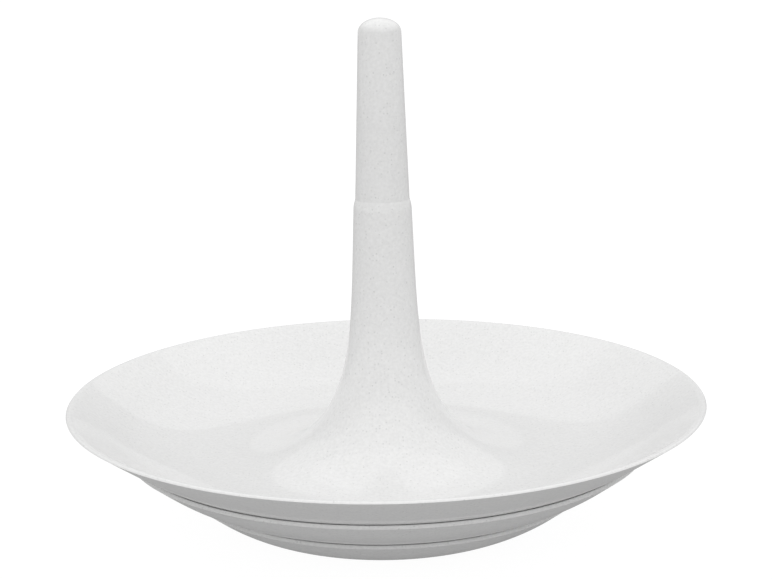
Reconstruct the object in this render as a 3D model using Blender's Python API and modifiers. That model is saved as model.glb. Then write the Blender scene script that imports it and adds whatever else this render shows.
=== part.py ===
"""Tiered tray stand of three turned trays, nested for storage with the largest on top.

Each tray is one moulded shell: a hollow stem that flares into a shallow ring-shaped
dish. The small tray's stem is closed and rises through the open stems of the other two.
Every tray rests on the one under it. Units are metres, +Z is up, and the stand rests on
the small tray's foot at height zero.
"""

import math

import bpy

# Shell and fits
WALL = 0.0022
STEM_CLEARANCE = 0.0003
SEAT_CLEARANCE = 0.0003
RIM_ROUNDING = 0.0010
FOOT_WIDTH = 0.0080

# Dishes: rim and floor radius, and depth from the rim's lower edge to the floor
LARGE_RIM_RADIUS = 0.1575
LARGE_FLOOR_RADIUS = 0.0776
LARGE_DISH_DEPTH = 0.0306
MEDIUM_RIM_RADIUS = 0.1290
MEDIUM_FLOOR_RADIUS = 0.0640
MEDIUM_DISH_DEPTH = 0.0231
SMALL_RIM_RADIUS = 0.0996
SMALL_FLOOR_RADIUS = 0.0480
SMALL_DISH_DEPTH = 0.0176

# Slope of a dish's wall at the rim, over the slope of a line from floor to rim:
# at 1 the wall is straight all the way, and at 2 it is one arc all the way
LARGE_WALL_CURL = 1.57
MEDIUM_WALL_CURL = 1.74
SMALL_WALL_CURL = 1.77

# Open stems: heights above the tray's own floor, and the walls left at their lips
LARGE_STEM_HEIGHT = 0.1309
LARGE_FLARE_HEIGHT = 0.1137
LARGE_LIP_WALL = 0.0005
MEDIUM_STEM_HEIGHT = 0.0810
MEDIUM_FLARE_HEIGHT = 0.0765
MEDIUM_LIP_WALL = 0.0009
OPEN_STEM_TAPER = 0.0385
LIP_HEIGHT = 0.0045
LIP_EDGE = 0.0002

# Closed stem: a straight shaft up to the large tray's lip, and a tapered tip above it
SMALL_STEM_RADIUS = 0.0132
SMALL_FLARE_HEIGHT = 0.0500
SMALL_TIP_RADIUS = 0.0104
TIP_ABOVE_LIP = 0.0872
DOME_HEIGHT = 0.0067

# Shape of the flare from stem to floor: power of the fall and power of the spread
FLARE_FALL = 4.0
FLARE_SPREAD = 2.2

# Fineness of the turned surfaces, and how far the flare's points crowd to its top
TURN_STEPS = 48
FLARE_STEPS = 12
FLARE_CROWDING = 1.4
BOWL_STEPS = 6
DOME_STEPS = 5
LIP_STEPS = 3
ROUND_STEPS = 2
MERGE_DISTANCE = 0.00001

# Off-white plastic, semi-gloss
TRAY_COLOUR = (0.80, 0.80, 0.79, 1.0)
TRAY_ROUGHNESS = 0.30

QUARTER_TURN = math.pi / 2.0


class Stem:
    """Outside of a stem: a straight taper, then a flare that ends level at the floor.

    Heights are above the top of the tray's floor.
    """

    def __init__(self, top_radius, top_height, taper, flare_height, floor_radius):
        self.top_radius = top_radius
        self.top_height = top_height
        self.taper = taper
        self.flare_height = flare_height
        self.floor_radius = floor_radius

    def shaft_radius(self, height):
        return self.top_radius + self.taper * (self.top_height - height)

    def flare_point(self, turn):
        """Point of the flare, from its top at no turn to the floor at a quarter turn."""
        fallen = math.sin(turn) ** (2.0 / FLARE_FALL)
        spread = 1.0 - max(0.0, math.cos(turn)) ** (2.0 / FLARE_SPREAD)
        height = self.flare_height * (1.0 - fallen)
        width = self.floor_radius - self.shaft_radius(0.0)
        return self.shaft_radius(height) + width * spread, height

    def outline(self, from_height):
        """Points from a height down to the start of the floor."""
        points = []
        first_turn = 0.0
        if from_height > self.flare_height:
            points.append((self.shaft_radius(from_height), from_height))
        else:
            fallen = 1.0 - from_height / self.flare_height
            first_turn = math.asin(fallen ** (FLARE_FALL / 2.0))
        for step in range(FLARE_STEPS + 1):
            share = (step / FLARE_STEPS) ** FLARE_CROWDING
            points.append(self.flare_point(first_turn + (QUARTER_TURN - first_turn) * share))
        return points


class Bowl:
    """Dish outside the floor circle: an arc that turns up into a straight, slanted wall.

    The wall is cut square to its slope, so that its lower corner is the widest edge.
    """

    def __init__(self, floor_radius, rim_radius, depth, curl):
        self.floor_radius = floor_radius
        self.edge = (rim_radius, depth)
        run = rim_radius - floor_radius
        rise = depth + WALL
        self.angle = math.atan2(rise, run) * curl
        spare_rise = run * math.tan(self.angle) - rise
        self.outer_radius = spare_rise * math.cos(self.angle) / (1.0 - math.cos(self.angle))

    def outline(self, inset):
        """Points of the arc from beside the floor to its end, inset from the underside."""
        points = []
        reach = self.outer_radius - inset
        centre_height = self.outer_radius - WALL
        for step in range(1, BOWL_STEPS + 1):
            turn = self.angle * step / BOWL_STEPS
            radius = self.floor_radius + reach * math.sin(turn)
            points.append((radius, centre_height - reach * math.cos(turn)))
        return points

    def rim_outline(self):
        """The rim's rounded upper corner, then its sharp lower edge."""
        slope_cos = math.cos(self.angle)
        slope_sin = math.sin(self.angle)
        points = []
        for step in range(ROUND_STEPS + 1):
            turn = QUARTER_TURN * step / ROUND_STEPS
            back = RIM_ROUNDING * (1.0 - math.sin(turn))
            up = WALL - RIM_ROUNDING * (1.0 - math.cos(turn))
            radius = self.edge[0] - back * slope_cos - up * slope_sin
            points.append((radius, self.edge[1] - back * slope_sin + up * slope_cos))
        return points + [self.edge]


def dish_top(shell, bowl):
    """Top of a tray from its stem's outline to its rim."""
    return shell + bowl.outline(WALL) + bowl.rim_outline()


def inside_of(shell):
    """Outline one wall inside a smooth one, square to it at each point."""
    inner = []
    for index, (radius, height) in enumerate(shell):
        before = shell[max(0, index - 1)]
        after = shell[min(len(shell) - 1, index + 1)]
        across = after[0] - before[0]
        down = before[1] - after[1]
        length = math.hypot(across, down)
        inner.append((radius - WALL * down / length, height - WALL * across / length))
    return inner


def underside(shell, bowl):
    """Underside of a tray from its stem to its rim, with a flat foot ring on the way."""
    foot_inside = bowl.floor_radius - FOOT_WIDTH / 2.0
    foot_outside = bowl.floor_radius + FOOT_WIDTH / 2.0
    points = [point for point in inside_of(shell) if point[0] < foot_inside]
    points.append((foot_inside, -WALL))
    points.append((foot_outside, -WALL))
    points += [point for point in bowl.outline(0.0) if point[0] > foot_outside]
    return points + [bowl.edge]


def height_at(outline, radius):
    """Height of an outline at a radius, or None where it has no point."""
    for before, after in zip(outline, outline[1:]):
        if before[0] <= radius <= after[0] and before[0] < after[0]:
            share = (radius - before[0]) / (after[0] - before[0])
            return before[1] + share * (after[1] - before[1])
    return None


def lip_outline(stem, bore_radius):
    """Rounded lip of an open stem, from its top edge down to the full stem."""
    inner = bore_radius + LIP_EDGE
    foot_height = stem.top_height - LIP_HEIGHT
    foot_radius = stem.outline(foot_height)[0][0]
    points = []
    for step in range(LIP_STEPS):
        turn = QUARTER_TURN * step / LIP_STEPS
        radius = inner + (foot_radius - inner) * math.sin(turn)
        points.append((radius, foot_height + LIP_HEIGHT * math.cos(turn)))
    return points


def open_tray(stem, bowl, bore_radius):
    """Top and underside of a tray whose stem is open at its top, around a bore."""
    shell = stem.outline(stem.top_height - LIP_HEIGHT)
    top = dish_top(lip_outline(stem, bore_radius) + shell, bowl)
    under = underside(shell, bowl)
    # the bore runs straight down until the shell's inside is wider
    bore = [(bore_radius, stem.top_height), (bore_radius, height_at(under, bore_radius))]
    return top, bore + [point for point in under if point[0] > bore_radius]


def closed_tray(stem, bowl, shaft_height, tip_height):
    """Top and underside of a tray whose stem is closed by a dome, both from the axis."""
    shell = []
    for step in range(DOME_STEPS + 1):
        turn = QUARTER_TURN * step / DOME_STEPS
        height = tip_height - DOME_HEIGHT * (1.0 - math.cos(turn))
        shell.append((SMALL_TIP_RADIUS * math.sin(turn), height))
    shell.append((stem.shaft_radius(shaft_height), shaft_height))
    shell += stem.outline(stem.top_height)
    under = underside(shell, bowl)
    under[0] = (0.0, tip_height - WALL)
    return dish_top(shell, bowl), under


def resting_height(lower_top, upper_under):
    """Height of a tray's floor over the floor of the tray that it rests on."""
    seats = []
    for radius, _ in lower_top + upper_under:
        low = height_at(lower_top, radius)
        high = height_at(upper_under, radius)
        if low is not None and high is not None:
            seats.append(low - high)
    return max(seats) + SEAT_CLEARANCE


def tray_material(name):
    material = bpy.data.materials.new(name)
    material.diffuse_color = TRAY_COLOUR
    material.use_nodes = True
    shader = material.node_tree.nodes["Principled BSDF"]
    shader.inputs["Base Color"].default_value = TRAY_COLOUR
    shader.inputs["Roughness"].default_value = TRAY_ROUGHNESS
    shader.inputs["Metallic"].default_value = 0.0
    return material


def turned_tray(name, top, under, floor_height, collection):
    """Tray turned about Z from its top outline and back along its underside."""
    outline = top + under[::-1][1:]
    edges = [(index, index + 1) for index in range(len(outline) - 1)]
    is_open = outline[-1][0] > 0.0
    if is_open:
        edges.append((len(outline) - 1, 0))
    mesh = bpy.data.meshes.new(name)
    mesh.from_pydata([(radius, 0.0, height) for radius, height in outline], edges, [])
    mesh.materials.append(tray_material(name + "_plastic"))
    tray = bpy.data.objects.new(name, mesh)
    tray.location.z = floor_height
    collection.objects.link(tray)
    turn = tray.modifiers.new("Turn", "SCREW")
    turn.axis = "Z"
    turn.steps = TURN_STEPS
    turn.render_steps = TURN_STEPS
    turn.use_smooth_shade = True
    turn.use_merge_vertices = True
    turn.merge_threshold = MERGE_DISTANCE
    return tray


def build():
    for item in list(bpy.data.objects):
        bpy.data.objects.remove(item, do_unlink=True)
    collection = bpy.data.collections.new("tiered_tray_stand")
    bpy.context.scene.collection.children.link(collection)

    large_bowl = Bowl(
        LARGE_FLOOR_RADIUS, LARGE_RIM_RADIUS, LARGE_DISH_DEPTH, LARGE_WALL_CURL)
    medium_bowl = Bowl(
        MEDIUM_FLOOR_RADIUS, MEDIUM_RIM_RADIUS, MEDIUM_DISH_DEPTH, MEDIUM_WALL_CURL)
    small_bowl = Bowl(
        SMALL_FLOOR_RADIUS, SMALL_RIM_RADIUS, SMALL_DISH_DEPTH, SMALL_WALL_CURL)

    # Both open stems have a bore that runs freely on the small tray's shaft
    bore_radius = SMALL_STEM_RADIUS + STEM_CLEARANCE
    large_stem = Stem(
        bore_radius + LARGE_LIP_WALL, LARGE_STEM_HEIGHT, OPEN_STEM_TAPER,
        LARGE_FLARE_HEIGHT, LARGE_FLOOR_RADIUS)
    medium_stem = Stem(
        bore_radius + MEDIUM_LIP_WALL, MEDIUM_STEM_HEIGHT, OPEN_STEM_TAPER,
        MEDIUM_FLARE_HEIGHT, MEDIUM_FLOOR_RADIUS)
    small_stem = Stem(
        SMALL_STEM_RADIUS, SMALL_FLARE_HEIGHT, 0.0, SMALL_FLARE_HEIGHT, SMALL_FLOOR_RADIUS)
    large_top, large_under = open_tray(large_stem, large_bowl, bore_radius)
    medium_top, medium_under = open_tray(medium_stem, medium_bowl, bore_radius)

    # Floors from the foot up, each tray on the one under it
    small_dish = dish_top(small_stem.outline(SMALL_FLARE_HEIGHT), small_bowl)
    small_floor = WALL
    medium_floor = small_floor + resting_height(small_dish, medium_under)
    large_floor = medium_floor + resting_height(medium_top, large_under)

    # The small tray's shaft reaches the large tray's lip, and its tip stands above it
    shaft_height = large_floor + LARGE_STEM_HEIGHT - small_floor
    small_top, small_under = closed_tray(
        small_stem, small_bowl, shaft_height, shaft_height + TIP_ABOVE_LIP)

    turned_tray("small_tray", small_top, small_under, small_floor, collection)
    turned_tray("medium_tray", medium_top, medium_under, medium_floor, collection)
    turned_tray("large_tray", large_top, large_under, large_floor, collection)


build()
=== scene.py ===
"""Tiered tray stand: three nested moulded trays with trumpet-shaped stems.

Builds the visible trays over the fixed frame, their speckled plastic, and the studio.
Lengths are in metres unless a property says otherwise.
"""

import math

import bmesh
import bpy
from mathutils import Matrix, Vector


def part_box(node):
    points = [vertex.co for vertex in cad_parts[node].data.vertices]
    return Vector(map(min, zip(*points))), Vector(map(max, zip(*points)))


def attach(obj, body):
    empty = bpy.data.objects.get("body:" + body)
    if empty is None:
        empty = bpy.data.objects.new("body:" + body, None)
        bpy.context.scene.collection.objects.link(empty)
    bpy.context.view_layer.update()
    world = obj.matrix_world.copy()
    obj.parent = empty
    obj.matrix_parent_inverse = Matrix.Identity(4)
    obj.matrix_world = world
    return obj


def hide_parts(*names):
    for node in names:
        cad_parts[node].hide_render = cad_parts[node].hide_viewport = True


bl_info = {
    "name": "Tiered Tray Stand",
    "version": (1, 0, 0),
    "blender": (4, 5, 0),
    "location": "3D View > Sidebar > Tray Stand",
    "description": "Builds a nested tiered tray stand of speckled moulded plastic",
    "category": "Add Mesh",
}

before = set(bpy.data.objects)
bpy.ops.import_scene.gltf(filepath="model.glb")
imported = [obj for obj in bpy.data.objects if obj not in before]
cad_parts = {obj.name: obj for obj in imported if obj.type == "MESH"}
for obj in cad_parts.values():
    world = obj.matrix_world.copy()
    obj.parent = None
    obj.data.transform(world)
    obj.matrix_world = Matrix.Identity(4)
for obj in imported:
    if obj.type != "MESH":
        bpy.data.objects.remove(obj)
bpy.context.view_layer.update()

QUARTER_TURN = math.pi / 2.0
MATERIAL_NAME = "speckled_tray_plastic"

# Each tray stands in the frame by its lowest face, which is the underside of its floor
SMALL_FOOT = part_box("small_tray")[0].z
MEDIUM_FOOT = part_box("medium_tray")[0].z
LARGE_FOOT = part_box("large_tray")[0].z

# Points along each part of an outline
FLARE_POINTS = 56
BOWL_POINTS = 28
RIM_POINTS = 12
LIP_POINTS = 10
DOME_POINTS = 24
TAPER_POINTS = 6
# Above one, the flare's points crowd towards the stem, where the form is narrow and steep
FLARE_CROWDING = 1.4
# Edges that turn by more than this look sharp
SHARP_EDGE = math.radians(35.0)

# A speck fades out between these distances from the middle of its cell, in speck spacings
SPECK_CORE = 0.16
SPECK_EDGE = 0.36
# Scale of each noise in the plastic, in features per metre
GRAIN_SCALE = 650.0
CLOUD_SCALE = 22.0
WEAR_SCALE = 60.0
# Roughness of the least and the most worn places, over the mean
LEAST_WORN = 0.85
MOST_WORN = 1.15
# Index of refraction of the plastic and of its moulded skin
PLASTIC_IOR = 1.5
SKIN_IOR = 1.64
PLASTIC_SPECULAR = 0.4
# Moulding waves: share and height, in metres
WAVE_SHARE = 0.05
WAVE_HEIGHT = 0.0002

# The studio: half width of the floor, and the floor as the camera sees it
FLOOR_HALF_WIDTH = 6.0
SHOWN_FLOOR_SHADE = 0.10
SHOWN_FLOOR_GLOW = 0.95
# Height of the softbox, above the reach of the lifted trays, and half of its outline
SOFTBOX_HEIGHT = 0.7
SOFTBOX_HALF_OUTLINE = (
    (0.0, -0.275), (0.24, -0.19), (0.46, 0.07), (0.49, 0.46), (0.38, 0.59))
# Place and height of each corner of the walls, which are highest behind the stand
WALL_CORNERS = (
    (-2.1, -2.9, 1.6), (2.1, -2.9, 1.4), (2.1, 3.1, 1.2), (0.0, 3.1, 1.76), (-2.1, 3.1, 1.4))
SKIRTING_HEIGHT = 0.45
# The softbox behind the camera
FRONT_PLACE = (0.0, -2.44, 0.99)
FRONT_AIM = (0.0, 0.0, 0.1)
FRONT_SIZE = (2.4, 1.2)
SENSOR_WIDTH = 36.0
# The dish mirrors itself at a grazing angle many times over
LIGHT_BOUNCES = 20
MIRROR_BOUNCES = 16


def length(name, words, default):
    """A length that the user can change."""
    return bpy.props.FloatProperty(
        name=name, description=words, default=default, min=0.0, precision=4, unit="LENGTH")


def share(name, words, default, highest=1.0):
    """A plain number from nothing up to its highest."""
    return bpy.props.FloatProperty(
        name=name, description=words, default=default, min=0.0, max=highest, precision=3)


def tint(name, words, default):
    """A colour, in linear values."""
    return bpy.props.FloatVectorProperty(
        name=name, description=words, default=default, size=3, min=0.0, max=1.0,
        subtype="COLOR")


class TRAYSTAND_PG_shell(bpy.types.PropertyGroup):
    """Sizes that all three trays share."""

    wall: length("Wall", "Thickness of every tray", 0.0022)
    foot_width: length("Foot Width", "Width of the flat ring that a tray rests on", 0.008)
    bore_radius: length("Bore Radius", "Radius of the open stems' bore", 0.0135)
    mouth_radius: length("Mouth Radius", "Radius of the bore at the lip", 0.01322)
    flare_fall: share("Flare Fall", "Power of the flare's fall from the stem", 4.0, 8.0)
    flare_spread: share("Flare Spread", "Power of the flare's spread to the floor", 2.2, 8.0)
    turn_steps: bpy.props.IntProperty(
        name="Turn Steps", description="Steps round each tray", default=256, min=32, max=512)


class TRAYSTAND_PG_large(bpy.types.PropertyGroup):
    """Sizes of the large tray, with heights above its floor."""

    rim_radius: length("Rim Radius", "Radius of the rim's widest edge", 0.1575)
    floor_radius: length("Floor Radius", "Radius where the dish is deepest", 0.0776)
    depth: length("Depth", "Height of the rim's lower edge over the floor", 0.0306)
    curl: share("Wall Curl", "Slope at the rim over the slope from floor to rim", 1.57, 2.0)
    rim_width: length("Rim Width", "Width of the rim's rounded upper corner", 0.0034)
    rim_drop: length("Rim Drop", "Height of the rim's rounded upper corner", 0.0017)
    stem_height: length("Stem Height", "Height of the stem's open top", 0.1309)
    flare_height: length("Flare Height", "Height where the stem starts to flare", 0.1137)
    taper: share("Taper", "Growth of the stem's radius per unit of height", 0.0385)
    lip_wall: length("Lip Wall", "Wall that the stem's taper leaves at its top", 0.0005)
    lip_height: length("Lip Height", "Height of the tapered lip", 0.0055)


class TRAYSTAND_PG_medium(bpy.types.PropertyGroup):
    """Sizes of the medium tray, with heights above its floor."""

    rim_radius: length("Rim Radius", "Radius of the rim's widest edge", 0.1290)
    floor_radius: length("Floor Radius", "Radius where the dish is deepest", 0.0640)
    depth: length("Depth", "Height of the rim's lower edge over the floor", 0.0231)
    curl: share("Wall Curl", "Slope at the rim over the slope from floor to rim", 1.74, 2.0)
    rim_width: length("Rim Width", "Width of the rim's rounded upper corner", 0.0010)
    rim_drop: length("Rim Drop", "Height of the rim's rounded upper corner", 0.0010)
    stem_height: length("Stem Height", "Height of the stem's open top", 0.0810)
    flare_height: length("Flare Height", "Height where the stem starts to flare", 0.0765)
    taper: share("Taper", "Growth of the stem's radius per unit of height", 0.0385)
    lip_wall: length("Lip Wall", "Wall that the stem's taper leaves at its top", 0.0009)
    lip_height: length("Lip Height", "Height of the tapered lip", 0.0055)


class TRAYSTAND_PG_small(bpy.types.PropertyGroup):
    """Sizes of the small tray with the closed stem, with heights above its floor."""

    rim_radius: length("Rim Radius", "Radius of the rim's widest edge", 0.0996)
    floor_radius: length("Floor Radius", "Radius where the dish is deepest", 0.0480)
    depth: length("Depth", "Height of the rim's lower edge over the floor", 0.0176)
    curl: share("Wall Curl", "Slope at the rim over the slope from floor to rim", 1.77, 2.0)
    rim_width: length("Rim Width", "Width of the rim's rounded upper corner", 0.0010)
    rim_drop: length("Rim Drop", "Height of the rim's rounded upper corner", 0.0010)
    flare_height: length("Flare Height", "Height where the stem starts to flare", 0.05)
    stem_radius: length("Stem Radius", "Radius of the straight shaft", 0.0132)
    tip_radius: length("Tip Radius", "Radius of the stem where its dome starts", 0.0104)
    tip_length: length("Tip Length", "Length of the tapered tip, dome included", 0.0872)
    dome_height: length("Dome Height", "Height of the dome", 0.0067)


class TRAYSTAND_PG_plastic(bpy.types.PropertyGroup):
    """Look of the speckled plastic."""

    colour: tint("Colour", "Colour of the plastic between its specks", (0.79, 0.79, 0.787))
    roughness: share("Roughness", "Mean roughness of the plastic under its polish", 0.35)
    polish: share("Polish", "Share of the surface that is polished smooth", 0.62)
    polish_roughness: share("Polish Roughness", "Roughness of the polished share", 0.02)
    speck_colour: tint("Speck Colour", "Colour of the darkest specks", (0.66, 0.66, 0.657))
    speck_size: length("Speck Size", "Mean distance between specks", 0.0016)
    speck_share: share("Speck Share", "Share of the places for a speck that hold one", 0.5)
    grain: share("Grain", "Strength of the fine grain in the plastic", 0.085)
    cloud: share("Cloud", "Strength of the slow change in shade", 0.012)


class TRAYSTAND_PG_studio(bpy.types.PropertyGroup):
    """Camera, lights and floor."""

    lens: bpy.props.FloatProperty(
        name="Lens", description="Focal length for a sensor 36 mm wide", default=85.007,
        min=10.0, max=300.0)
    camera_place: bpy.props.FloatVectorProperty(
        name="Camera Place", description="Place of the camera", size=3, subtype="TRANSLATION",
        unit="LENGTH", default=(0.0, -0.8731561, 0.3196058))
    aim_place: bpy.props.FloatVectorProperty(
        name="Aim", description="Point on the stems' plane at the picture's centre", size=3,
        subtype="TRANSLATION", unit="LENGTH", default=(0.00097, 0.0, 0.1168998))
    roll: bpy.props.FloatProperty(
        name="Roll", description="Turn of the camera about its own line of sight",
        default=math.radians(-0.996), subtype="ANGLE")
    sky: share("Sky", "Strength of the even light from above", 1.13, 4.0)
    wall: share("Wall", "Strength of the light from the walls all round", 0.74, 4.0)
    wall_shine: share("Wall Shine", "Strength of the walls as seen in the polish", 0.64, 4.0)
    skirting_shine: share(
        "Skirting Shine", "Strength of the walls' lowest part as seen in the polish", 0.82, 4.0)
    floor_shade: share("Floor Shade", "Share of the light that the floor gives back", 0.30)
    floor_glow: share("Floor Glow", "Strength of the floor's own light", 0.22)
    softbox: share("Softbox", "Strength of the light from the softbox overhead", 1.04, 4.0)
    softbox_shine: share(
        "Softbox Shine", "Strength of the softbox as seen in the polish", 1.36, 4.0)
    front: bpy.props.FloatProperty(
        name="Front", description="Power of the softbox behind the camera", default=9.0,
        min=0.0, subtype="POWER")


class TRAYSTAND_PG_stand(bpy.types.PropertyGroup):
    """All settings of the stand."""

    shell: bpy.props.PointerProperty(type=TRAYSTAND_PG_shell)
    large: bpy.props.PointerProperty(type=TRAYSTAND_PG_large)
    medium: bpy.props.PointerProperty(type=TRAYSTAND_PG_medium)
    small: bpy.props.PointerProperty(type=TRAYSTAND_PG_small)
    plastic: bpy.props.PointerProperty(type=TRAYSTAND_PG_plastic)
    studio: bpy.props.PointerProperty(type=TRAYSTAND_PG_studio)


def flare_outline(tray, shell, top_radius, top_height, taper, from_height):
    """Outside of a stem from a height down to the floor: a taper, then a flare."""
    def shaft_radius(height):
        return top_radius + taper * (top_height - height)

    width = tray.floor_radius - shaft_radius(0.0)
    points = []
    first_turn = 0.0
    if from_height > tray.flare_height:
        for step in range(TAPER_POINTS):
            height = from_height + (tray.flare_height - from_height) * step / TAPER_POINTS
            points.append((shaft_radius(height), height))
    else:
        fallen = 1.0 - from_height / tray.flare_height
        first_turn = math.asin(fallen ** (shell.flare_fall / 2.0))
    for step in range(FLARE_POINTS + 1):
        done = (step / FLARE_POINTS) ** FLARE_CROWDING
        turn = first_turn + (QUARTER_TURN - first_turn) * done
        height = tray.flare_height * (1.0 - math.sin(turn) ** (2.0 / shell.flare_fall))
        spread = 1.0 - max(0.0, math.cos(turn)) ** (2.0 / shell.flare_spread)
        points.append((shaft_radius(height) + width * spread, height))
    return points


def bowl_form(tray, wall):
    """Slope of a dish's wall at the rim, and radius of the arc under it."""
    run = tray.rim_radius - tray.floor_radius
    rise = tray.depth + wall
    slope = math.atan2(rise, run) * tray.curl
    radius = (run * math.tan(slope) - rise) * math.cos(slope) / (1.0 - math.cos(slope))
    return slope, radius


def bowl_outline(tray, wall, inset):
    """Points of a dish's arc from beside the floor to its end, inset from the underside."""
    slope, arc_radius = bowl_form(tray, wall)
    reach = arc_radius - inset
    points = []
    for step in range(1, BOWL_POINTS + 1):
        turn = slope * step / BOWL_POINTS
        radius = tray.floor_radius + reach * math.sin(turn)
        points.append((radius, arc_radius - wall - reach * math.cos(turn)))
    return points


def rim_outline(tray, shell):
    """Rounded upper corner of the rim, then its sharp lower edge."""
    slope = bowl_form(tray, shell.wall)[0]
    points = []
    for step in range(RIM_POINTS + 1):
        turn = QUARTER_TURN * step / RIM_POINTS
        back = tray.rim_width * (1.0 - math.sin(turn))
        up = shell.wall - tray.rim_drop * (1.0 - math.cos(turn))
        radius = tray.rim_radius - back * math.cos(slope) - up * math.sin(slope)
        points.append((radius, tray.depth - back * math.sin(slope) + up * math.cos(slope)))
    return points + [(tray.rim_radius, tray.depth)]


def inside_outline(outer, wall):
    """Outline one wall inside a smooth one, square to it at each point."""
    inner = []
    for index, (radius, height) in enumerate(outer):
        before = outer[max(0, index - 1)]
        after = outer[min(len(outer) - 1, index + 1)]
        across = after[0] - before[0]
        down = before[1] - after[1]
        span = math.hypot(across, down)
        inner.append((radius - wall * down / span, height - wall * across / span))
    return inner


def underside_outline(tray, shell, outer):
    """Underside from the stem to the rim, with the flat foot ring on the way."""
    foot_inside = tray.floor_radius - shell.foot_width / 2.0
    foot_outside = tray.floor_radius + shell.foot_width / 2.0
    points = [point for point in inside_outline(outer, shell.wall) if point[0] < foot_inside]
    points += [(foot_inside, -shell.wall), (foot_outside, -shell.wall)]
    points += [point for point in bowl_outline(tray, shell.wall, 0.0) if point[0] > foot_outside]
    return points + [(tray.rim_radius, tray.depth)]


def open_outline(tray, shell):
    """Closed outline of a tray whose stem is open at its top, round its bore."""
    top_radius = shell.bore_radius + tray.lip_wall
    lip_foot = tray.stem_height - tray.lip_height
    outer = flare_outline(tray, shell, top_radius, tray.stem_height, tray.taper, lip_foot)
    lip = []
    for step in range(LIP_POINTS):
        down = step / LIP_POINTS
        spread = math.sin(QUARTER_TURN * down)
        radius = shell.mouth_radius + (outer[0][0] - shell.mouth_radius) * spread
        lip.append((radius, tray.stem_height - tray.lip_height * down))
    top = lip + outer + bowl_outline(tray, shell.wall, shell.wall) + rim_outline(tray, shell)
    under = underside_outline(tray, shell, outer)
    # below the lip's snug mouth the bore runs straight down until the shell's inside is wider
    hidden = [point for point in under if point[0] <= shell.bore_radius]
    foot_of_bore = hidden[-1][1] if hidden else under[0][1]
    bore = [(shell.bore_radius, lip_foot), (shell.bore_radius, foot_of_bore)]
    return top + (bore + under[len(hidden):])[::-1][1:]


def closed_outline(tray, shell, shaft_height):
    """Outline, from axis to axis, of the tray whose stem is closed by a dome."""
    tip_height = shaft_height + tray.tip_length
    outer = []
    for step in range(DOME_POINTS + 1):
        turn = QUARTER_TURN * step / DOME_POINTS
        height = tip_height - tray.dome_height * (1.0 - math.cos(turn))
        outer.append((tray.tip_radius * math.sin(turn), height))
    outer.append((tray.stem_radius, shaft_height))
    outer += flare_outline(
        tray, shell, tray.stem_radius, tray.flare_height, 0.0, tray.flare_height)
    top = outer + bowl_outline(tray, shell.wall, shell.wall) + rim_outline(tray, shell)
    under = underside_outline(tray, shell, outer)
    under[0] = (0.0, tip_height - shell.wall)
    return top + under[::-1][1:]


def turned_mesh(name, outline, floor_height, steps):
    """Mesh of an outline turned about the stems' axis."""
    work = bmesh.new()
    rings = []
    for radius, height in outline:
        place = Vector((radius, 0.0, floor_height + height))
        around = steps if radius > 0.0 else 1
        rings.append([
            work.verts.new(Matrix.Rotation(math.tau * step / steps, 3, "Z") @ place)
            for step in range(around)])
    is_open = outline[-1][0] > 0.0
    for index in range(len(rings) if is_open else len(rings) - 1):
        upper = rings[index]
        lower = rings[(index + 1) % len(rings)]
        for step in range(steps):
            after = (step + 1) % steps
            corners = [upper[step % len(upper)], lower[step % len(lower)],
                       lower[after % len(lower)], upper[after % len(upper)]]
            work.faces.new(list(dict.fromkeys(corners)))
    bmesh.ops.recalc_face_normals(work, faces=work.faces)
    mesh = bpy.data.meshes.new(name)
    work.to_mesh(mesh)
    work.free()
    mesh.shade_smooth()
    mesh.set_sharp_from_angle(angle=SHARP_EDGE)
    return mesh


def place_tray(context, name, node, body, outline, foot):
    """Make a tray's visible shell and set it on its body in place of its CAD node."""
    stand = context.scene.tray_stand
    mesh = turned_mesh(name, outline, foot + stand.shell.wall, stand.shell.turn_steps)
    mesh.materials.append(tray_plastic(stand.plastic))
    tray = bpy.data.objects.new(name, mesh)
    context.scene.collection.objects.link(tray)
    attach(tray, body)
    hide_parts(node)


def node_of(tree, kind, place, **values):
    """A shader node at a place in the editor, with some of its settings."""
    node = tree.nodes.new(kind)
    node.location = (place[0] * 220.0, place[1] * -220.0)
    for name, value in values.items():
        setattr(node, name, value)
    return node


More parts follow.
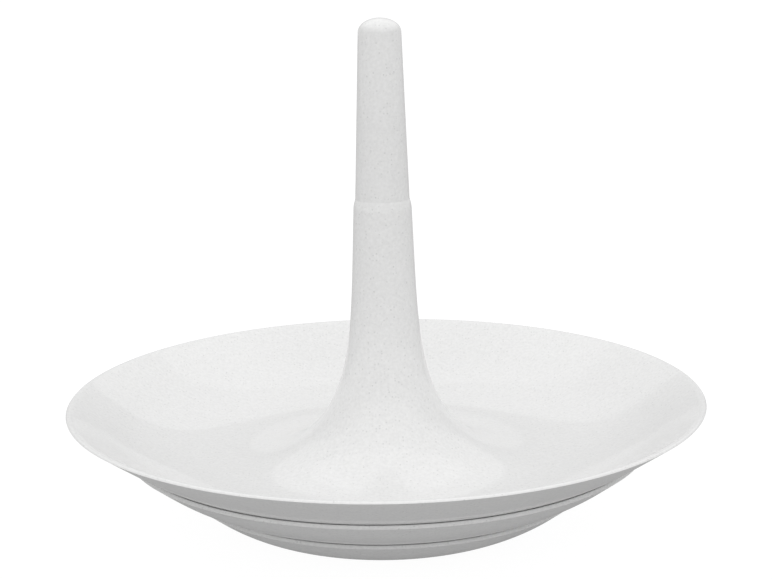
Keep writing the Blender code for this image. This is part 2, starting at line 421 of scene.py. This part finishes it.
def tray_plastic(look):
    """The moulded plastic: near-white, polished, with fine specks, grain and slow clouds."""
    found = bpy.data.materials.get(MATERIAL_NAME)
    if found:
        return found
    material = bpy.data.materials.new(MATERIAL_NAME)
    material.use_nodes = True
    material.diffuse_color = (*look.colour, 1.0)
    tree = material.node_tree
    link = tree.links.new
    shader = tree.nodes["Principled BSDF"]
    shader.inputs["IOR"].default_value = PLASTIC_IOR
    shader.inputs["Specular IOR Level"].default_value = PLASTIC_SPECULAR
    # the moulded skin: crisp but weak reflections over the grainier plastic
    shader.inputs["Coat Weight"].default_value = look.polish
    shader.inputs["Coat Roughness"].default_value = look.polish_roughness
    shader.inputs["Coat IOR"].default_value = SKIN_IOR
    place = node_of(tree, "ShaderNodeTexCoord", (-7, 0)).outputs["Object"]

    # Specks: one possible speck in each cell, of its own size and strength
    cells = node_of(tree, "ShaderNodeTexVoronoi", (-6, 0))
    cells.inputs["Scale"].default_value = 1.0 / look.speck_size
    link(place, cells.inputs["Vector"])
    split = node_of(tree, "ShaderNodeSeparateColor", (-5, 0))
    link(cells.outputs["Color"], split.inputs["Color"])
    speck = node_of(tree, "ShaderNodeMapRange", (-4, 0), interpolation_type="SMOOTHSTEP")
    speck.inputs["From Min"].default_value = SPECK_EDGE
    speck.inputs["From Max"].default_value = SPECK_CORE
    link(cells.outputs["Distance"], speck.inputs["Value"])
    chosen = node_of(tree, "ShaderNodeMapRange", (-4, 1))
    chosen.inputs["From Min"].default_value = 1.0 - look.speck_share
    link(split.outputs["Red"], chosen.inputs["Value"])
    strength = node_of(tree, "ShaderNodeMath", (-3, 0), operation="MULTIPLY")
    link(speck.outputs["Result"], strength.inputs[0])
    link(chosen.outputs["Result"], strength.inputs[1])

    # Grain and cloud: shade of the plastic between the specks
    grain = node_of(tree, "ShaderNodeTexNoise", (-6, 2))
    grain.inputs["Scale"].default_value = GRAIN_SCALE
    grain.inputs["Detail"].default_value = 1.0
    link(place, grain.inputs["Vector"])
    grain_shade = node_of(tree, "ShaderNodeMapRange", (-4, 2), clamp=False)
    grain_shade.inputs["To Min"].default_value = 1.0 - look.grain
    grain_shade.inputs["To Max"].default_value = 1.0 + look.grain
    link(grain.outputs["Fac"], grain_shade.inputs["Value"])
    cloud = node_of(tree, "ShaderNodeTexNoise", (-6, 3))
    cloud.inputs["Scale"].default_value = CLOUD_SCALE
    link(place, cloud.inputs["Vector"])
    cloud_shade = node_of(tree, "ShaderNodeMapRange", (-4, 3), clamp=False)
    cloud_shade.inputs["To Min"].default_value = 1.0 - look.cloud
    cloud_shade.inputs["To Max"].default_value = 1.0 + look.cloud
    link(cloud.outputs["Fac"], cloud_shade.inputs["Value"])
    shade = node_of(tree, "ShaderNodeMath", (-3, 2), operation="MULTIPLY")
    link(grain_shade.outputs["Result"], shade.inputs[0])
    link(cloud_shade.outputs["Result"], shade.inputs[1])
    ground = node_of(tree, "ShaderNodeVectorMath", (-2, 2), operation="SCALE")
    ground.inputs[0].default_value = look.colour
    link(shade.outputs["Value"], ground.inputs["Scale"])
    paint = node_of(tree, "ShaderNodeMix", (-1, 0), data_type="RGBA")
    paint.inputs["B"].default_value = (*look.speck_colour, 1.0)
    link(strength.outputs["Value"], paint.inputs["Factor"])
    link(ground.outputs["Vector"], paint.inputs["A"])
    link(paint.outputs["Result"], shader.inputs["Base Color"])

    # Polish: a little duller in patches, as wiped and handled plastic is
    wear = node_of(tree, "ShaderNodeTexNoise", (-6, 4))
    wear.inputs["Scale"].default_value = WEAR_SCALE
    wear.inputs["Detail"].default_value = 4.0
    link(place, wear.inputs["Vector"])
    dullness = node_of(tree, "ShaderNodeMapRange", (-1, 4))
    dullness.inputs["To Min"].default_value = look.roughness * LEAST_WORN
    dullness.inputs["To Max"].default_value = look.roughness * MOST_WORN
    link(wear.outputs["Fac"], dullness.inputs["Value"])
    link(dullness.outputs["Result"], shader.inputs["Roughness"])

    # Moulding: the faintest waviness of the surface
    bump = node_of(tree, "ShaderNodeBump", (-1, 5))
    bump.inputs["Strength"].default_value = WAVE_SHARE
    bump.inputs["Distance"].default_value = WAVE_HEIGHT
    link(grain.outputs["Fac"], bump.inputs["Height"])
    link(bump.outputs["Normal"], shader.inputs["Normal"])
    return material


class TRAYSTAND_OT_large_tray(bpy.types.Operator):
    """Build the large tray with its open stem."""

    bl_idname = "tray_stand.large_tray"
    bl_label = "Large Tray"

    def execute(self, context):
        stand = context.scene.tray_stand
        outline = open_outline(stand.large, stand.shell)
        place_tray(context, "large_tray_shell", "large_tray", "large_tray", outline, LARGE_FOOT)
        return {"FINISHED"}


class TRAYSTAND_OT_medium_tray(bpy.types.Operator):
    """Build the medium tray with its open stem."""

    bl_idname = "tray_stand.medium_tray"
    bl_label = "Medium Tray"

    def execute(self, context):
        stand = context.scene.tray_stand
        outline = open_outline(stand.medium, stand.shell)
        place_tray(
            context, "medium_tray_shell", "medium_tray", "medium_tray", outline, MEDIUM_FOOT)
        return {"FINISHED"}


class TRAYSTAND_OT_small_tray(bpy.types.Operator):
    """Build the small tray with its tall closed stem."""

    bl_idname = "tray_stand.small_tray"
    bl_label = "Small Tray"

    def execute(self, context):
        stand = context.scene.tray_stand
        # the shaft is straight up to the large tray's lip, where the tapered tip starts
        lip_height = LARGE_FOOT + stand.shell.wall + stand.large.stem_height
        shaft_height = lip_height - SMALL_FOOT - stand.shell.wall
        outline = closed_outline(stand.small, stand.shell, shaft_height)
        place_tray(context, "small_tray_shell", "small_tray", "small_tray", outline, SMALL_FOOT)
        return {"FINISHED"}


def studio_floor(context, studio):
    """Wide pale floor, white to the camera, that keeps the stand's soft shadow."""
    half = FLOOR_HALF_WIDTH
    mesh = bpy.data.meshes.new("studio_floor")
    mesh.from_pydata(
        [(-half, -half, 0.0), (half, -half, 0.0), (half, half, 0.0), (-half, half, 0.0)],
        [], [(0, 1, 2, 3)])
    material = bpy.data.materials.new("studio_floor_paper")
    material.use_nodes = True
    tree = material.node_tree
    tree.nodes.clear()
    link = tree.links.new
    output = node_of(tree, "ShaderNodeOutputMaterial", (2, 0))
    paper = node_of(tree, "ShaderNodeBsdfDiffuse", (0, 0))
    paper.inputs["Color"].default_value = (*[studio.floor_shade] * 3, 1.0)
    shown_paper = node_of(tree, "ShaderNodeBsdfDiffuse", (-1, 1))
    shown_paper.inputs["Color"].default_value = (*[SHOWN_FLOOR_SHADE] * 3, 1.0)
    glow = node_of(tree, "ShaderNodeEmission", (-1, 2))
    glow.inputs["Strength"].default_value = SHOWN_FLOOR_GLOW
    shown = node_of(tree, "ShaderNodeAddShader", (0, 1))
    own_glow = node_of(tree, "ShaderNodeEmission", (-1, 3))
    own_glow.inputs["Strength"].default_value = studio.floor_glow
    lit = node_of(tree, "ShaderNodeAddShader", (0, 2))
    link(paper.outputs["BSDF"], lit.inputs[0])
    link(own_glow.outputs["Emission"], lit.inputs[1])
    link(shown_paper.outputs["BSDF"], shown.inputs[0])
    link(glow.outputs["Emission"], shown.inputs[1])
    mix = node_of(tree, "ShaderNodeMixShader", (1, 0))
    link(seen_by(tree, (-1, -1), "Is Camera Ray", "Is Transmission Ray"), mix.inputs["Fac"])
    link(lit.outputs["Shader"], mix.inputs[1])
    link(shown.outputs["Shader"], mix.inputs[2])
    link(mix.outputs["Shader"], output.inputs["Surface"])
    material.cycles.emission_sampling = "NONE"
    mesh.materials.append(material)
    floor = bpy.data.objects.new("studio_floor", mesh)
    context.scene.collection.objects.link(floor)


def seen_by(tree, place, *kinds):
    """Socket that is one for any of these kinds of ray."""
    rays = node_of(tree, "ShaderNodeLightPath", place)
    found = rays.outputs[kinds[0]]
    for kind in kinds[1:]:
        both = node_of(tree, "ShaderNodeMath", place, operation="MAXIMUM")
        tree.links.new(found, both.inputs[0])
        tree.links.new(rays.outputs[kind], both.inputs[1])
        found = both.outputs["Value"]
    return found


def glowing_sheet(context, name, points, faces, strength, shine):
    """Evenly glowing part of the studio, out of the camera's sight but seen in the polish."""
    mesh = bpy.data.meshes.new(name)
    mesh.from_pydata(points, [], faces)
    material = bpy.data.materials.new(name)
    material.use_nodes = True
    tree = material.node_tree
    tree.nodes.clear()
    output = node_of(tree, "ShaderNodeOutputMaterial", (2, 0))
    glow = node_of(tree, "ShaderNodeEmission", (0, 0))
    glow.inputs["Strength"].default_value = strength
    mirrored = node_of(tree, "ShaderNodeEmission", (0, 1))
    mirrored.inputs["Strength"].default_value = shine
    mix = node_of(tree, "ShaderNodeMixShader", (1, 0))
    tree.links.new(seen_by(tree, (-1, -1), "Is Glossy Ray"), mix.inputs["Fac"])
    tree.links.new(glow.outputs["Emission"], mix.inputs[1])
    tree.links.new(mirrored.outputs["Emission"], mix.inputs[2])
    # lit surfaces find so large a sheet by themselves, with less noise than by aiming at it
    material.cycles.emission_sampling = "NONE"
    tree.links.new(mix.outputs["Shader"], output.inputs["Surface"])
    mesh.materials.append(material)
    sheet = bpy.data.objects.new(name, mesh)
    sheet.visible_camera = False
    context.scene.collection.objects.link(sheet)


def studio_softbox(context, studio):
    """Softbox over the stand, above the reach of its lifted trays."""
    half = SOFTBOX_HALF_OUTLINE
    outline = half + tuple((-x, y) for x, y in half[:0:-1])
    points = [(x, y, SOFTBOX_HEIGHT) for x, y in outline]
    glowing_sheet(context, "studio_softbox", points, [tuple(range(len(points)))],
                  studio.softbox, studio.softbox_shine)


def studio_walls(context, studio):
    """Grey walls all round, mirrored lighter by the floor, highest in the middle of the back."""
    lower = [(x, y, z) for x, y, _ in WALL_CORNERS for z in (0.0, SKIRTING_HEIGHT)]
    upper = [(x, y, z) for x, y, top in WALL_CORNERS for z in (SKIRTING_HEIGHT, top)]
    count = len(lower)
    faces = [(index, index + 1, (index + 3) % count, (index + 2) % count)
             for index in range(0, count, 2)]
    glowing_sheet(context, "studio_skirting", lower, faces, studio.wall, studio.skirting_shine)
    glowing_sheet(context, "studio_walls", upper, faces, studio.wall, studio.wall_shine)


def studio_sky(context, studio):
    """Even light from all round, with white behind the stand."""
    world = bpy.data.worlds.new("studio_sky")
    context.scene.world = world
    world.use_nodes = True
    tree = world.node_tree
    tree.nodes.clear()
    link = tree.links.new
    output = node_of(tree, "ShaderNodeOutputWorld", (2, 0))
    light = node_of(tree, "ShaderNodeBackground", (0, 0))
    light.inputs["Strength"].default_value = studio.sky
    white = node_of(tree, "ShaderNodeBackground", (0, 1))
    mix = node_of(tree, "ShaderNodeMixShader", (1, 0))
    link(seen_by(tree, (-1, -1), "Is Camera Ray", "Is Glossy Ray", "Is Transmission Ray"),
         mix.inputs["Fac"])
    link(light.outputs["Background"], mix.inputs[1])
    link(white.outputs["Background"], mix.inputs[2])
    link(mix.outputs["Shader"], output.inputs["Surface"])
    for background in (light, white):
        background.inputs["Color"].default_value = (1.0, 1.0, 1.0, 1.0)


def soft_lamp(context, name, place, aim, size, power):
    """Rectangular soft lamp that points at a place."""
    lamp = bpy.data.lights.new(name, "AREA")
    lamp.shape = "RECTANGLE"
    lamp.size, lamp.size_y = size
    lamp.energy = power
    lamp_object = bpy.data.objects.new(name, lamp)
    lamp_object.location = place
    lamp_object.rotation_euler = (Vector(aim) - Vector(place)).to_track_quat(
        "-Z", "Y").to_euler()
    context.scene.collection.objects.link(lamp_object)
    return lamp_object


class TRAYSTAND_OT_studio(bpy.types.Operator):
    """Set up the floor, the walls, the softboxes, the sky and the camera."""

    bl_idname = "tray_stand.studio"
    bl_label = "Studio"

    def execute(self, context):
        scene = context.scene
        studio = scene.tray_stand.studio
        scene.view_settings.view_transform = "Standard"
        scene.cycles.max_bounces = LIGHT_BOUNCES
        scene.cycles.glossy_bounces = MIRROR_BOUNCES
        studio_floor(context, studio)
        studio_walls(context, studio)
        studio_softbox(context, studio)
        studio_sky(context, studio)
        fill = soft_lamp(
            context, "front_softbox", FRONT_PLACE, FRONT_AIM, FRONT_SIZE, studio.front)
        fill.visible_glossy = False
        lens = bpy.data.cameras.new("studio_camera")
        lens.lens = studio.lens
        lens.sensor_width = SENSOR_WIDTH
        lens.clip_start = 0.01
        camera = bpy.data.objects.new("studio_camera", lens)
        place = Vector(studio.camera_place)
        look = (Vector(studio.aim_place) - place).to_track_quat("-Z", "Y")
        roll = Matrix.Rotation(studio.roll, 4, "Z")
        camera.matrix_world = Matrix.Translation(place) @ look.to_matrix().to_4x4() @ roll
        scene.collection.objects.link(camera)
        scene.camera = camera
        return {"FINISHED"}


class TRAYSTAND_PT_panel(bpy.types.Panel):
    """Buttons that build the stand, and the settings behind them."""

    bl_idname = "TRAYSTAND_PT_panel"
    bl_label = "Tiered Tray Stand"
    bl_space_type = "VIEW_3D"
    bl_region_type = "UI"
    bl_category = "Tray Stand"

    def draw(self, context):
        stand = context.scene.tray_stand
        for operator, group in (
                (TRAYSTAND_OT_small_tray, stand.small),
                (TRAYSTAND_OT_medium_tray, stand.medium),
                (TRAYSTAND_OT_large_tray, stand.large),
                (None, stand.shell),
                (None, stand.plastic),
                (TRAYSTAND_OT_studio, stand.studio)):
            box = self.layout.box()
            for name in group.bl_rna.properties.keys():
                if name not in {"rna_type", "name"}:
                    box.prop(group, name)
            if operator:
                box.operator(operator.bl_idname)


CLASSES = (
    TRAYSTAND_PG_shell,
    TRAYSTAND_PG_large,
    TRAYSTAND_PG_medium,
    TRAYSTAND_PG_small,
    TRAYSTAND_PG_plastic,
    TRAYSTAND_PG_studio,
    TRAYSTAND_PG_stand,
    TRAYSTAND_OT_large_tray,
    TRAYSTAND_OT_medium_tray,
    TRAYSTAND_OT_small_tray,
    TRAYSTAND_OT_studio,
    TRAYSTAND_PT_panel,
)


def register():
    """Add the stand's classes and settings."""
    for item in CLASSES:
        bpy.utils.register_class(item)
    bpy.types.Scene.tray_stand = bpy.props.PointerProperty(type=TRAYSTAND_PG_stand)


def unregister():
    """Take the stand's settings and classes away."""
    del bpy.types.Scene.tray_stand
    for item in reversed(CLASSES):
        bpy.utils.unregister_class(item)


def main():
    """Build the whole stand."""
    register()
    bpy.ops.tray_stand.small_tray()
    bpy.ops.tray_stand.medium_tray()
    bpy.ops.tray_stand.large_tray()
    bpy.ops.tray_stand.studio()


if __name__ == "__main__":
    main()
